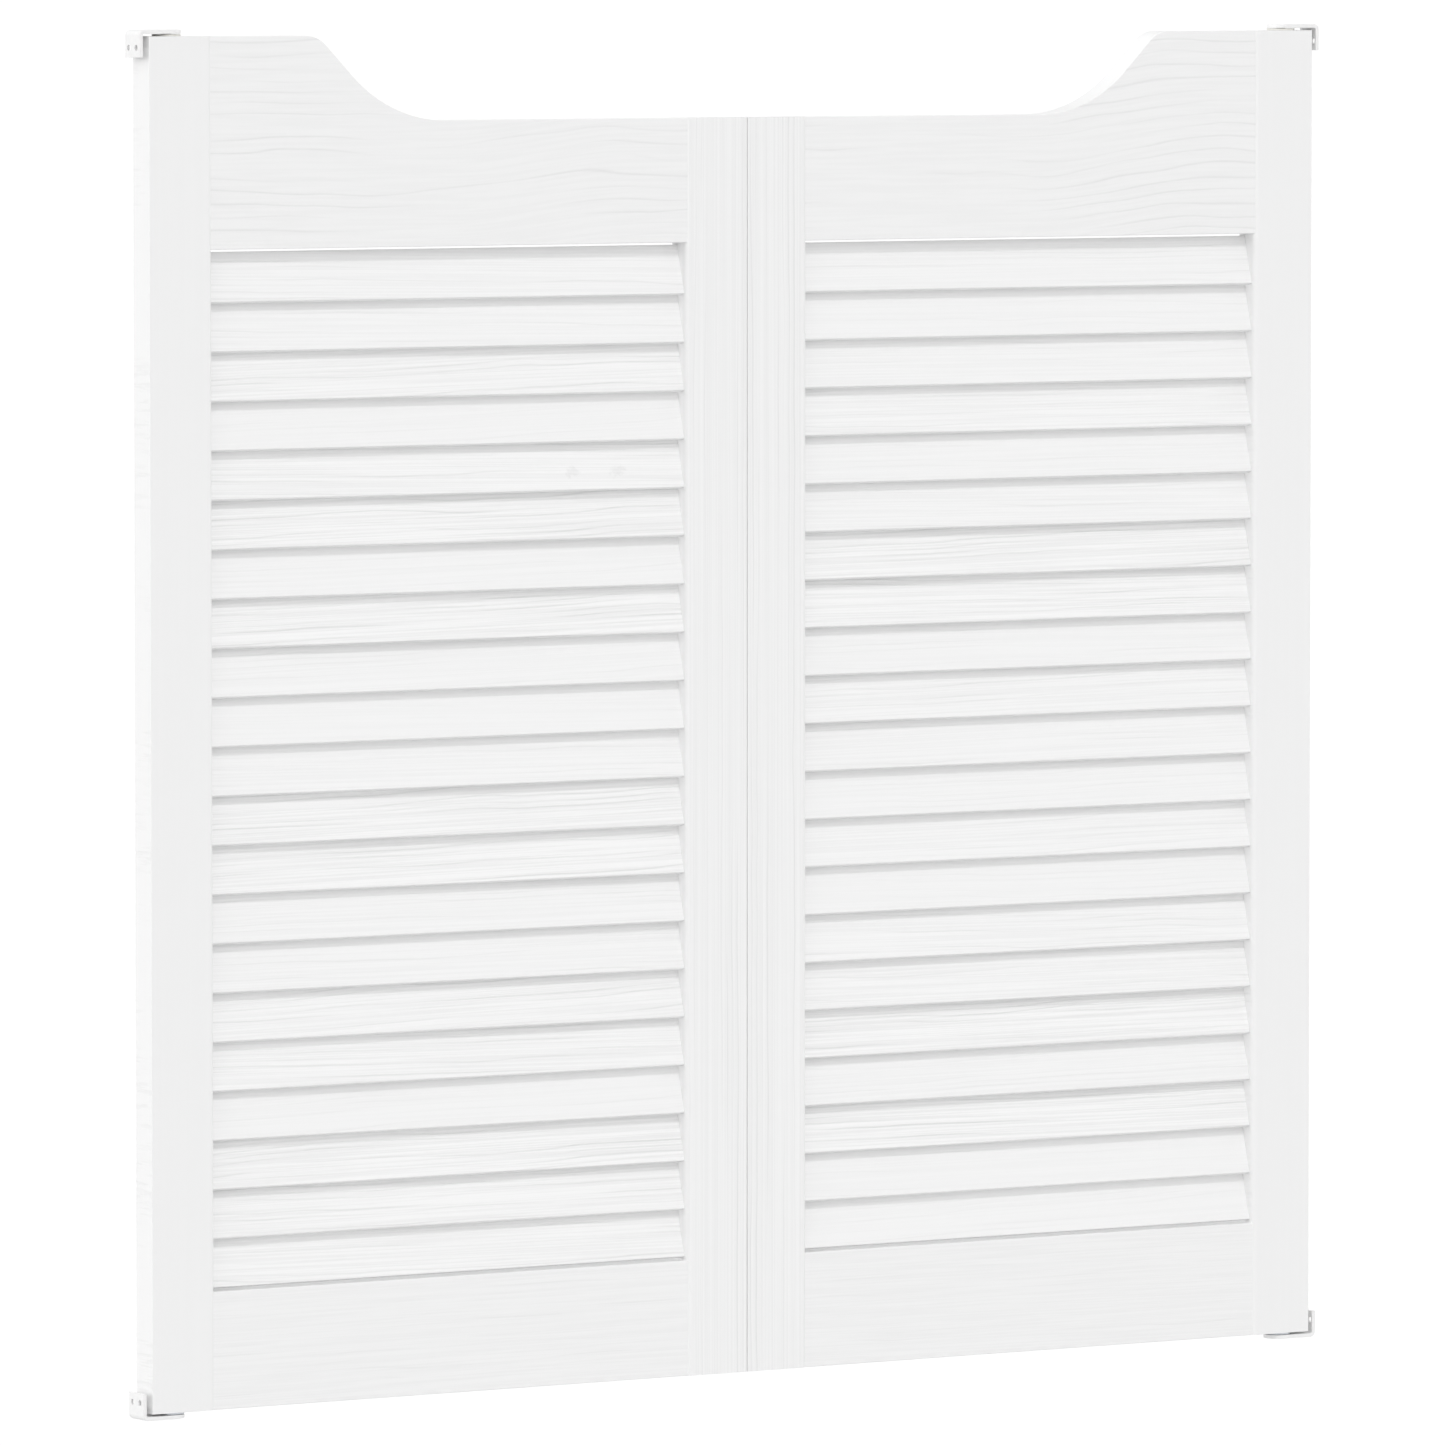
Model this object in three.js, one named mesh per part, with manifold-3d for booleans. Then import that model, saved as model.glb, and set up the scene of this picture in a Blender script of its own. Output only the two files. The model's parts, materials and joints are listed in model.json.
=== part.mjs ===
// A pair of cafe swinging doors: two louvred leaves with a scooped top rail, hung on sprung pivots.
// Millimetres, +Z up. The front faces -Y, the leaves meet at X = 0, and Z = 0 is under the brackets.
import * as THREE from 'three';
import { mergeVertices } from 'three/addons/utils/BufferGeometryUtils.js';
import Module from 'manifold-3d';

const wasm = await Module();
wasm.setup();

// Leaf
const LEAF_HEIGHT = 850;
const LEAF_WIDTH = 436;
const LEAF_THICKNESS = 20;
const MEETING_GAP = 0.4;
const STILE_WIDTH = 45;
const BOTTOM_RAIL_HEIGHT = 73.5;
const TOP_RAIL_NECK = 78.6; // height of the top rail at the low side of its scoop
const RAIL_SETBACK = 1; // rail faces behind the faces of the stiles
const ARRIS_RADIUS = 0.6;
const LOUVRE_ARRIS_RADIUS = 3.5; // along the louvred side of a stile

// Scoop in the top rail, worked from the outer edge of the leaf inwards
const SCOOP_START = 113; // level stretch before the scoop
const SCOOP_DROP = 53;
const SCOOP_SLOPE = 45; // steepest slope, in degrees
const CREST_RADIUS = 20;
const HOLLOW_RADIUS = 95;

// Joinery
const JOINT_GAP = 0.3; // glue line round tenons, slat ends and fittings
const TENON_THICKNESS = 7;
const TENON_SHOULDER = 14; // above and below each tenon
const MORTISE_WALL = 4; // wood left between a mortise and the pivot bore

// Louvre slats
const SLAT_COUNT = 21;
const SLAT_THICKNESS = 5;
const SLAT_AIR_GAP = 2.9; // between the faces of neighbouring slats
const SLAT_LAP = 0.3; // how far each slat rises behind the one above it
const SLAT_HEAD_GAP = 1.4; // first slat to the top rail
const SLAT_FOOT_GAP = 2.4; // front edge of the last slat to the bottom rail
const SLAT_HOUSING = 8; // how far a slat enters each stile
const SLAT_EDGE_RADIUS = 0.6;

// Pivots
const PIVOT_INSET = 18; // pivot axis from the outer edge of the leaf
const RUN_GAP = 0.3; // between parts that turn on each other
const PIN_DIAMETER = 6;
const FLANGE_DIAMETER = 18;
const FLANGE_THICKNESS = 1.2;
const BUSH_DIAMETER = 10;
const BUSH_LENGTH = 22;
const BARREL_DIAMETER = 13;
const BARREL_WALL = 1;
const BARREL_LENGTH = 46;
const END_WALL = 2; // closed end of the bush and of the barrel
const SOCKET_DEPTH = 8; // seat of the spindle's tip
const COLLAR_HEIGHT = 6; // spindle's collar above the leaf's bottom edge
const SPRING_WIRE = 1.2;
const SPRING_TURNS = 12;

// Jamb brackets
const SWING_CLEARANCE = 1; // between the leaf's turning corner and the bracket's leg
const BRACKET_WIDTH = 18;
const BRACKET_THICKNESS = 2.5;
const BRACKET_LEG = 17;
const BEND_RADIUS = 1;
const SCREW_HOLE_DIAMETER = 3.6;
const SCREW_HEAD_DIAMETER = 6.4;
const SCREW_EDGE = 6; // hole centres from the free end of the leg
const SCREW_SPACING = 9; // side by side

// Facets
const ARC_FACETS = 16; // of an arc of the scoop, and of a bracket's round end
const ARRIS_FACETS = 4; // of a quarter round
const ROUND_FACETS = 24; // of a full turn
const COIL_FACETS = 12; // of one turn of the spring
const WIRE_FACETS = 6; // round the spring's wire

// Worked out from the sizes above, in the frame of one leaf: X runs from the meeting edge outwards,
// Y = 0 is the middle of the thickness and Z = 0 is the bottom edge.
const LOW_HEIGHT = LEAF_HEIGHT - SCOOP_DROP;
const RAIL_THICKNESS = LEAF_THICKNESS - 2 * RAIL_SETBACK;
const OPENING_BOTTOM = BOTTOM_RAIL_HEIGHT;
const OPENING_TOP = LOW_HEIGHT - TOP_RAIL_NECK;
const OPENING_INNER = STILE_WIDTH;
const OPENING_OUTER = LEAF_WIDTH - STILE_WIDTH;

const SLAT_FIELD = OPENING_TOP - OPENING_BOTTOM - SLAT_HEAD_GAP - SLAT_FOOT_GAP;
const SLAT_PITCH = (SLAT_FIELD - SLAT_LAP) / SLAT_COUNT;
const SLAT_TILT = Math.asin((SLAT_THICKNESS + SLAT_AIR_GAP) / SLAT_PITCH);
const SLAT_WIDTH = (SLAT_PITCH + SLAT_LAP) / Math.cos(SLAT_TILT);
const SLAT_LENGTH = OPENING_OUTER - OPENING_INNER + 2 * SLAT_HOUSING;

const PIVOT_X = LEAF_WIDTH - PIVOT_INSET;
const PIN_RADIUS = PIN_DIAMETER / 2;
const BARREL_BORE_RADIUS = BARREL_DIAMETER / 2 - BARREL_WALL;
const BARREL_ROOM = BARREL_LENGTH - END_WALL - SOCKET_DEPTH; // top of the room for the spring
const TENON_LENGTH = STILE_WIDTH - PIVOT_INSET - BARREL_DIAMETER / 2 - MORTISE_WALL;
const LEG_X = PIVOT_X + Math.hypot(PIVOT_INSET, LEAF_THICKNESS / 2) + SWING_CLEARANCE;
const JAMB_X = LEG_X + BRACKET_THICKNESS;
const ARM_GAP = FLANGE_THICKNESS + RUN_GAP; // between the leaf and a bracket's arm
const LEAF_BASE = BRACKET_THICKNESS + ARM_GAP;
const OVERRUN = LEAF_THICKNESS; // how far a cutter runs past what it cuts

const WHITE_PAINT = new THREE.MeshStandardMaterial({ color: 0xf0f0f0, roughness: 0.5, metalness: 0 });
const WHITE_SLAT = new THREE.MeshStandardMaterial({ color: 0xf3f3f3, roughness: 0.5, metalness: 0 });
const WHITE_STEEL = new THREE.MeshStandardMaterial({ color: 0xe9e9e8, roughness: 0.4, metalness: 0 });
const NYLON = new THREE.MeshStandardMaterial({ color: 0xe2e1dc, roughness: 0.45, metalness: 0 });
const ZINC = new THREE.MeshStandardMaterial({ color: 0xb9bcbe, roughness: 0.35, metalness: 0.9 });
const SPRING_STEEL = new THREE.MeshStandardMaterial({ color: 0x8b8f93, roughness: 0.3, metalness: 1 });

// Booleans

function welded(geometry) {
  const bare = geometry.index ? geometry.toNonIndexed() : geometry.clone();
  bare.deleteAttribute('normal');
  bare.deleteAttribute('uv');
  return mergeVertices(bare, 1e-4);
}

function solid(geometry) {
  const closed = welded(geometry);
  const mesh = new wasm.Mesh({
    numProp: 3,
    vertProperties: new Float32Array(closed.attributes.position.array),
    triVerts: new Uint32Array(closed.index.array),
  });
  return new wasm.Manifold(mesh);
}

function surface(manifold) {
  const mesh = manifold.getMesh();
  const geometry = new THREE.BufferGeometry();
  geometry.setAttribute('position', new THREE.BufferAttribute(new Float32Array(mesh.vertProperties), 3));
  geometry.setIndex(new THREE.BufferAttribute(new Uint32Array(mesh.triVerts), 1));
  geometry.computeVertexNormals();
  return geometry;
}

// Basic shapes

// ExtrudeGeometry cuts an arc into twice its curveSegments
function arcSegments(facets) {
  return facets / 2;
}

function block(xRange, yRange, zRange) {
  const box = new THREE.BoxGeometry(
    xRange[1] - xRange[0],
    yRange[1] - yRange[0],
    zRange[1] - zRange[0],
  );
  return box.translate(
    (xRange[0] + xRange[1]) / 2,
    (yRange[0] + yRange[1]) / 2,
    (zRange[0] + zRange[1]) / 2,
  );
}

// A rectangle round the origin with its corners rounded, on its left and right side
function roundedRectangle(width, height, leftRadius, rightRadius) {
  const left = leftRadius - width / 2;
  const right = width / 2 - rightRadius;
  const leftY = height / 2 - leftRadius;
  const rightY = height / 2 - rightRadius;
  const shape = new THREE.Shape();
  shape.absarc(right, rightY, rightRadius, 0, Math.PI / 2, false);
  shape.absarc(left, leftY, leftRadius, Math.PI / 2, Math.PI, false);
  shape.absarc(left, -leftY, leftRadius, Math.PI, 1.5 * Math.PI, false);
  shape.absarc(right, -rightY, rightRadius, 1.5 * Math.PI, 2 * Math.PI, false);
  shape.closePath();
  return shape;
}

// A profile of [radius, height] points turned about the Z axis
function turned(profile) {
  const points = profile.map(([radius, height]) => new THREE.Vector2(radius, height));
  return new THREE.LatheGeometry(points, ROUND_FACETS).rotateX(Math.PI / 2);
}

// A round bar along Z, standing on the given height
function bar(diameter, bottom, length) {
  const radius = diameter / 2;
  return turned([[0, bottom], [radius, bottom], [radius, bottom + length], [0, bottom + length]]);
}

// Stiles: a rounded bar with slanted housings for the slats and mortises for the rails.
// They are made with X = 0 at the edge towards the louvres, and the wood on the +X side.

function slatCentre(index) {
  const frontEdge = OPENING_BOTTOM + SLAT_FOOT_GAP + index * SLAT_PITCH;
  const rise = (SLAT_WIDTH * Math.cos(SLAT_TILT) - SLAT_THICKNESS * Math.sin(SLAT_TILT)) / 2;
  return frontEdge + rise;
}

function slatHousing(index, lean) {
  const reach = SLAT_HOUSING + JOINT_GAP;
  const thickness = SLAT_THICKNESS + 2 * JOINT_GAP;
  const width = SLAT_WIDTH + 2 * JOINT_GAP;
  return block([-OVERRUN, reach], [-thickness / 2, thickness / 2], [-width / 2, width / 2])
    .rotateX(lean)
    .translate(0, 0, slatCentre(index));
}

function mortise(bottom, top) {
  const depth = TENON_LENGTH + JOINT_GAP;
  const half = TENON_THICKNESS / 2 + JOINT_GAP;
  const low = bottom + TENON_SHOULDER - JOINT_GAP;
  const high = top - TENON_SHOULDER + JOINT_GAP;
  return block([-OVERRUN, depth], [-half, half], [low, high]);
}

function stile(height, lean) {
  const section = roundedRectangle(STILE_WIDTH, LEAF_THICKNESS, LOUVRE_ARRIS_RADIUS, ARRIS_RADIUS);
  const bar = new THREE.ExtrudeGeometry(section, {
    depth: height,
    bevelEnabled: false,
    curveSegments: arcSegments(ARRIS_FACETS),
  });
  let wood = solid(bar.translate(STILE_WIDTH / 2, 0, 0));
  for (let index = 0; index < SLAT_COUNT; index += 1) {
    wood = wood.subtract(solid(slatHousing(index, lean)));
  }
  wood = wood.subtract(solid(mortise(0, OPENING_BOTTOM)));
  return wood.subtract(solid(mortise(OPENING_TOP, height)));
}

// Turned half round to face the outer one, which turns its housings too
function meetingStile(lean) {
  return surface(stile(LOW_HEIGHT, -lean)).rotateZ(Math.PI).translate(OPENING_INNER, 0, 0);
}

function outerStile(lean) {
  const axis = PIVOT_X - OPENING_OUTER;
  const barrelBore = bar(BARREL_DIAMETER + 2 * JOINT_GAP, -OVERRUN, OVERRUN + BARREL_LENGTH + JOINT_GAP);
  const bushFoot = LEAF_HEIGHT - BUSH_LENGTH - JOINT_GAP;
  const bushBore = bar(BUSH_DIAMETER + 2 * JOINT_GAP, bushFoot, OVERRUN + BUSH_LENGTH);
  const wood = stile(LEAF_HEIGHT, lean)
    .subtract(solid(barrelBore.translate(axis, 0, 0)))
    .subtract(solid(bushBore.translate(axis, 0, 0)));
  return surface(wood).translate(OPENING_OUTER, 0, 0);
}

// Rails: between the stiles, with a tenon at each end

const RAIL_INNER = OPENING_INNER + JOINT_GAP;
const RAIL_OUTER = OPENING_OUTER - JOINT_GAP;

// Extrudes an outline in the XZ plane through the thickness of a rail, with rounded arrises
function board(outline) {
  const geometry = new THREE.ExtrudeGeometry(outline, {
    depth: RAIL_THICKNESS - 2 * ARRIS_RADIUS,
    bevelEnabled: true,
    bevelThickness: ARRIS_RADIUS,
    bevelSize: ARRIS_RADIUS,
    bevelOffset: -ARRIS_RADIUS,
    bevelSegments: ARRIS_FACETS,
    curveSegments: arcSegments(ARC_FACETS),
  });
  return geometry.rotateX(Math.PI / 2).translate(0, RAIL_THICKNESS / 2 - ARRIS_RADIUS, 0);
}

// What a stile takes off the end of a rail, so that the shoulder is scribed to its rounded side.
// It lies round the origin, with the louvred side at -X.
function scribe() {
  const section = roundedRectangle(
    STILE_WIDTH + 2 * JOINT_GAP,
    LEAF_THICKNESS + 2 * JOINT_GAP,
    LOUVRE_ARRIS_RADIUS + JOINT_GAP,
    ARRIS_RADIUS + JOINT_GAP,
  );
  const bar = new THREE.ExtrudeGeometry(section, {
    depth: LEAF_HEIGHT + 2 * OVERRUN,
    bevelEnabled: false,
    curveSegments: arcSegments(ARRIS_FACETS),
  });
  return bar.translate(0, 0, -OVERRUN);
}

// Scribes a long board to both stiles and adds a tenon at each end
function tenoned(outline, bottom, innerTop, outerTop) {
  const half = TENON_THICKNESS / 2;
  const low = bottom + TENON_SHOULDER;
  const middle = (RAIL_INNER + RAIL_OUTER) / 2;
  const innerCut = scribe().rotateZ(Math.PI).translate(STILE_WIDTH / 2, 0, 0);
  const outerCut = scribe().translate(LEAF_WIDTH - STILE_WIDTH / 2, 0, 0);
  const innerTenon = block(
    [OPENING_INNER - TENON_LENGTH, middle],
    [-half, half],
    [low, innerTop - TENON_SHOULDER],
  );
  const outerTenon = block(
    [RAIL_OUTER - TENON_LENGTH, OPENING_OUTER + TENON_LENGTH],
    [-half, half],
    [low, outerTop - TENON_SHOULDER],
  );
  const wood = solid(board(outline)).subtract(solid(innerCut)).subtract(solid(outerCut));
  return surface(wood.add(solid(innerTenon)).add(solid(outerTenon)));
}

function bottomRail() {
  const outline = new THREE.Shape();
  outline.moveTo(RAIL_INNER - OVERRUN, 0);
  outline.lineTo(RAIL_OUTER + OVERRUN, 0);
  outline.lineTo(RAIL_OUTER + OVERRUN, OPENING_BOTTOM);
  outline.lineTo(RAIL_INNER - OVERRUN, OPENING_BOTTOM);
  outline.closePath();
  return tenoned(outline, 0, OPENING_BOTTOM, OPENING_BOTTOM);
}

// The scoop leaves the level top on a convex arc, runs straight down and eases out on a hollow arc.
// Where the drop is too small for the straight run, the two arcs meet at a lower slope.
function topRail() {
  const radii = CREST_RADIUS + HOLLOW_RADIUS;
  const meetingSlope = Math.acos(Math.max(0, 1 - SCOOP_DROP / radii));
  const slope = Math.min(THREE.MathUtils.degToRad(SCOOP_SLOPE), meetingSlope);
  const run = (SCOOP_DROP - radii * (1 - Math.cos(slope))) / Math.sin(slope);
  const crestX = LEAF_WIDTH - SCOOP_START;
  const hollowX = crestX - radii * Math.sin(slope) - run * Math.cos(slope);
  const outline = new THREE.Shape();
  outline.moveTo(RAIL_INNER - OVERRUN, OPENING_TOP);
  outline.lineTo(RAIL_OUTER + OVERRUN, OPENING_TOP);
  outline.lineTo(RAIL_OUTER + OVERRUN, LEAF_HEIGHT);
  outline.lineTo(crestX, LEAF_HEIGHT);
  const up = Math.PI / 2;
  const down = 1.5 * Math.PI;
  outline.absarc(crestX, LEAF_HEIGHT - CREST_RADIUS, CREST_RADIUS, up, up + slope, false);
  outline.absarc(hollowX, LOW_HEIGHT + HOLLOW_RADIUS, HOLLOW_RADIUS, down + slope, down, true);
  outline.lineTo(RAIL_INNER - OVERRUN, LOW_HEIGHT);
  outline.closePath();
  return tenoned(outline, OPENING_TOP, LOW_HEIGHT, LEAF_HEIGHT);
}

// Slats: their bottom edges lean to the front

function slat() {
  const section = roundedRectangle(SLAT_WIDTH, SLAT_THICKNESS, SLAT_EDGE_RADIUS, SLAT_EDGE_RADIUS);
  const strip = new THREE.ExtrudeGeometry(section, {
    depth: SLAT_LENGTH,
    bevelEnabled: false,
    curveSegments: arcSegments(ARRIS_FACETS),
  });
  return welded(strip.translate(0, 0, -SLAT_LENGTH / 2).rotateY(Math.PI / 2));
}

// Pivot fittings, made with the flange's outer face down and the sleeve standing in the wood above Z = 0

function topBush() {
  const flange = FLANGE_DIAMETER / 2;
  const sleeve = BUSH_DIAMETER / 2;
  const bore = PIN_RADIUS + RUN_GAP;
  return turned([
    [0, BUSH_LENGTH - END_WALL],
    [bore, BUSH_LENGTH - END_WALL],
    [bore, -FLANGE_THICKNESS],
    [flange, -FLANGE_THICKNESS],
    [flange, 0],
    [sleeve, 0],
    [sleeve, BUSH_LENGTH],
    [0, BUSH_LENGTH],
  ]);
}

function springBarrel() {
  const flange = FLANGE_DIAMETER / 2;
  const sleeve = BARREL_DIAMETER / 2;
  const socket = PIN_RADIUS + RUN_GAP;
  return turned([
    [0, BARREL_LENGTH - END_WALL],
    [socket, BARREL_LENGTH - END_WALL],
    [socket, BARREL_ROOM],
    [BARREL_BORE_RADIUS, BARREL_ROOM],
    [BARREL_BORE_RADIUS, -FLANGE_THICKNESS],
    [flange, -FLANGE_THICKNESS],
    [flange, 0],
    [sleeve, 0],
    [sleeve, BARREL_LENGTH],
    [0, BARREL_LENGTH],
  ]);
}

// The return spring stands on the spindle's collar, halfway between the spindle and the barrel
class Coil extends THREE.Curve {
  getPoint(t, target = new THREE.Vector3()) {
    const radius = (PIN_RADIUS + BARREL_BORE_RADIUS) / 2;
    const bottom = COLLAR_HEIGHT + RUN_GAP + SPRING_WIRE / 2;
    const top = BARREL_ROOM - RUN_GAP - SPRING_WIRE / 2;
    const angle = 2 * Math.PI * SPRING_TURNS * t;
    return target.set(radius * Math.cos(angle), radius * Math.sin(angle), bottom + (top - bottom) * t);
  }
}

function returnSpring() {
  const wire = new THREE.Shape();
  wire.absarc(0, 0, SPRING_WIRE / 2, 0, 2 * Math.PI, false);
  return welded(new THREE.ExtrudeGeometry(wire, {
    extrudePath: new Coil(),
    steps: SPRING_TURNS * COIL_FACETS,
    curveSegments: arcSegments(WIRE_FACETS),
    bevelEnabled: false,
  }));
}

// Jamb brackets, made as the bottom one stands: the arm along -X from the jamb, the leg upwards.
// The pin or spindle is riveted into the arm over the pivot axis, and counts Z from the arm's underside.

function topPin() {
  return bar(PIN_DIAMETER, 0, LEAF_BASE + BUSH_LENGTH - END_WALL - RUN_GAP);
}

function bottomSpindle() {
  const collar = BARREL_BORE_RADIUS - RUN_GAP;
  const tip = LEAF_BASE + BARREL_LENGTH - END_WALL - RUN_GAP;
  return turned([
    [0, 0],
    [collar, 0],
    [collar, LEAF_BASE + COLLAR_HEIGHT],
    [PIN_RADIUS, LEAF_BASE + COLLAR_HEIGHT],
    [PIN_RADIUS, tip],
    [0, tip],
  ]);
}

function bentStrip() {
  const armEnd = PIVOT_X - BRACKET_WIDTH / 2 - OVERRUN;
  const outerRadius = BEND_RADIUS + BRACKET_THICKNESS;
  const outline = new THREE.Shape();
  outline.moveTo(armEnd, 0);
  outline.absarc(JAMB_X - outerRadius, outerRadius, outerRadius, -Math.PI / 2, 0, false);
  outline.lineTo(JAMB_X, BRACKET_LEG);
  outline.lineTo(LEG_X, BRACKET_LEG);
  outline.absarc(LEG_X - BEND_RADIUS, outerRadius, BEND_RADIUS, 0, -Math.PI / 2, true);
  outline.lineTo(armEnd, BRACKET_THICKNESS);
  outline.closePath();
  const depth = BRACKET_WIDTH + 2 * OVERRUN;
  const curveSegments = arcSegments(ARRIS_FACETS);
  const strip = new THREE.ExtrudeGeometry(outline, { depth, bevelEnabled: false, curveSegments });
  return strip.rotateX(Math.PI / 2).translate(0, depth / 2, 0);
}

// The bracket seen from above: straight sides and a round end over the pivot
function bracketPlan() {
  const half = BRACKET_WIDTH / 2;
  const outline = new THREE.Shape();
  outline.moveTo(JAMB_X + OVERRUN, -half);
  outline.lineTo(JAMB_X + OVERRUN, half);
  outline.lineTo(PIVOT_X, half);
  outline.absarc(PIVOT_X, 0, half, Math.PI / 2, 1.5 * Math.PI, false);
  outline.closePath();
  const depth = BRACKET_LEG + 2 * OVERRUN;
  const curveSegments = arcSegments(ARC_FACETS);
  const prism = new THREE.ExtrudeGeometry(outline, { depth, bevelEnabled: false, curveSegments });
  return prism.translate(0, 0, -OVERRUN);
}

// Countersunk from the leaf's side
function screwHole(offset) {
  const hole = SCREW_HOLE_DIAMETER / 2;
  const head = SCREW_HEAD_DIAMETER / 2;
  const sinkDepth = head - hole;
  const profile = [
    [0, -OVERRUN],
    [hole, -OVERRUN],
    [hole, BRACKET_THICKNESS - sinkDepth],
    [head, BRACKET_THICKNESS],
    [0, BRACKET_THICKNESS + head],
  ];
  return turned(profile).rotateY(-Math.PI / 2).translate(JAMB_X, offset, BRACKET_LEG - SCREW_EDGE);
}

function bracket(pin) {
  const steel = solid(bentStrip())
    .intersect(solid(bracketPlan()))
    .subtract(solid(screwHole(-SCREW_SPACING / 2)))
    .subtract(solid(screwHole(SCREW_SPACING / 2)))
    .add(solid(pin.translate(PIVOT_X, 0, 0)));
  return surface(steel);
}

// Assembly

function piece(name, geometry, material) {
  const mesh = new THREE.Mesh(geometry, material);
  mesh.name = name;
  return mesh;
}

// One leaf with its pivots and brackets. The left leaf is the right one turned half round,
// so its front is at +Y in this frame, and its slats lean the other way here.
function hungLeaf(side) {
  const left = side === 'left';
  const lean = left ? SLAT_TILT : -SLAT_TILT;
  const hung = new THREE.Group();

  hung.add(piece(`${side}_outer_stile`, outerStile(lean), WHITE_PAINT));
  hung.add(piece(`${side}_meeting_stile`, meetingStile(lean), WHITE_PAINT));
  hung.add(piece(`${side}_top_rail`, topRail(), WHITE_PAINT));
  hung.add(piece(`${side}_bottom_rail`, bottomRail(), WHITE_PAINT));
  for (let index = 0; index < SLAT_COUNT; index += 1) {
    const number = String(SLAT_COUNT - index).padStart(2, '0');
    const strip = piece(`${side}_slat_${number}`, slat(), WHITE_SLAT);
    strip.position.set((OPENING_INNER + OPENING_OUTER) / 2, 0, slatCentre(index));
    strip.rotation.x = lean;
    hung.add(strip);
  }

  const bush = piece(`${side}_top_bush`, welded(topBush()), NYLON);
  bush.position.set(PIVOT_X, 0, LEAF_HEIGHT);
  bush.rotation.x = Math.PI;
  const barrel = piece(`${side}_spring_barrel`, welded(springBarrel()), ZINC);
  barrel.position.x = PIVOT_X;
  const spring = piece(`${side}_return_spring`, returnSpring(), SPRING_STEEL);
  spring.position.x = PIVOT_X;
  hung.add(bush, barrel, spring);

  const bottomBracket = piece(`${side}_bottom_bracket`, bracket(bottomSpindle()), WHITE_STEEL);
  bottomBracket.position.z = -LEAF_BASE;
  const topBracket = piece(`${side}_top_bracket`, bracket(topPin()), WHITE_STEEL);
  topBracket.position.z = LEAF_HEIGHT + LEAF_BASE;
  topBracket.rotation.x = Math.PI;
  hung.add(bottomBracket, topBracket);

  hung.position.set(left ? -MEETING_GAP / 2 : MEETING_GAP / 2, 0, LEAF_BASE);
  hung.rotation.z = left ? Math.PI : 0;
  return hung;
}

const doors = new THREE.Group();
doors.add(hungLeaf('left'));
doors.add(hungLeaf('right'));

export default doors;
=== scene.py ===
# %% [markdown]
# # A pair of cafe swinging doors
# Two white louvred leaves hang side by side in a doorway. Each leaf is a joiner's frame: two
# upright stiles, a top rail with a scooped edge, a bottom rail and 21 slanted slats between them.
# The CAD model already holds every piece at its size and place. This lesson loads it as a fixed
# frame, models the wood and the pivot fittings again with softened edges, and gives every piece
# its finish.

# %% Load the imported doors
import json
import math
import random

import bmesh
import bpy
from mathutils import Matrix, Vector

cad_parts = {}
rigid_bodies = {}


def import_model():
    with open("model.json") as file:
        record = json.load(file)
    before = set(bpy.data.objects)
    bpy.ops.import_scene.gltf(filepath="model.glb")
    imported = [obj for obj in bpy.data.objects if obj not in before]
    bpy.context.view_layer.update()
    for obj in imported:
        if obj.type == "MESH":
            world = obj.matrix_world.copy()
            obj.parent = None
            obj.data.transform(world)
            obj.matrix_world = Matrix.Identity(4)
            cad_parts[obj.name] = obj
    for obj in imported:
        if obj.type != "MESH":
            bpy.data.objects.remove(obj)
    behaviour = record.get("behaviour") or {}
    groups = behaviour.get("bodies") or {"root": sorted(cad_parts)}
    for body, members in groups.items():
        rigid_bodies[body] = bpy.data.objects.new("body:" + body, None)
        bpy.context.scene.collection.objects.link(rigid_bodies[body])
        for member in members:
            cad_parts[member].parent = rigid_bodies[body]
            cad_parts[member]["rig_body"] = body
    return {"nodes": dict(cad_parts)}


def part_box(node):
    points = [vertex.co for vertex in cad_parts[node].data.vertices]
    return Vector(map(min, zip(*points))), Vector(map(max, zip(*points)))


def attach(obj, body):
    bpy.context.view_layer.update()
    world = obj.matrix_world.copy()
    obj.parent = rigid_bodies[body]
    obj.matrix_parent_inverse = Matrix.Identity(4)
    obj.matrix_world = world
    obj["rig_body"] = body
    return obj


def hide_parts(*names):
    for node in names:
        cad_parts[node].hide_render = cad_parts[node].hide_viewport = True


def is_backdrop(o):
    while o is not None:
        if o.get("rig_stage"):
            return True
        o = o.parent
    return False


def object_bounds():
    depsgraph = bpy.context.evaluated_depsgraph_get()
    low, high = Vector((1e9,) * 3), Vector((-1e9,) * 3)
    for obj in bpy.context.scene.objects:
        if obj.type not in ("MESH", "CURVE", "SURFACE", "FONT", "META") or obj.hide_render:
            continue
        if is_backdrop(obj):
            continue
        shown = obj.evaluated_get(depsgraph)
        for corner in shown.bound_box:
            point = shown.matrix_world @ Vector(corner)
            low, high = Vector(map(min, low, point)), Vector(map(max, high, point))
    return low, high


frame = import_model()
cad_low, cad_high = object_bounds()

# %% [markdown]
# ## Camera
# The doors were photographed from far away with a long lens, from the left and a little above. A
# long lens keeps the rails nearly parallel. The place and the turn of the camera were worked out
# from the corners of the leaves, so the camera is set by numbers and not by an aiming helper.

# %% Camera
CAMERA_PLACE = (-4.358, -6.803, 0.9212)
CAMERA_TURN = math.radians(32.57)
CAMERA_DIP = math.radians(3.57)
CAMERA_LENS = 317.8
CAMERA_REACH = 500

bpy.ops.object.camera_add(
    location=CAMERA_PLACE,
    rotation=(math.pi / 2 - CAMERA_DIP, 0, -CAMERA_TURN),
)
camera = bpy.context.object
camera.data.lens = CAMERA_LENS
camera.data.clip_end = CAMERA_REACH
bpy.context.scene.camera = camera
bpy.context.scene.view_settings.view_transform = "Standard"
print("camera is", round(camera.location.length, 2), "m from the middle of the doorway")

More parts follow.
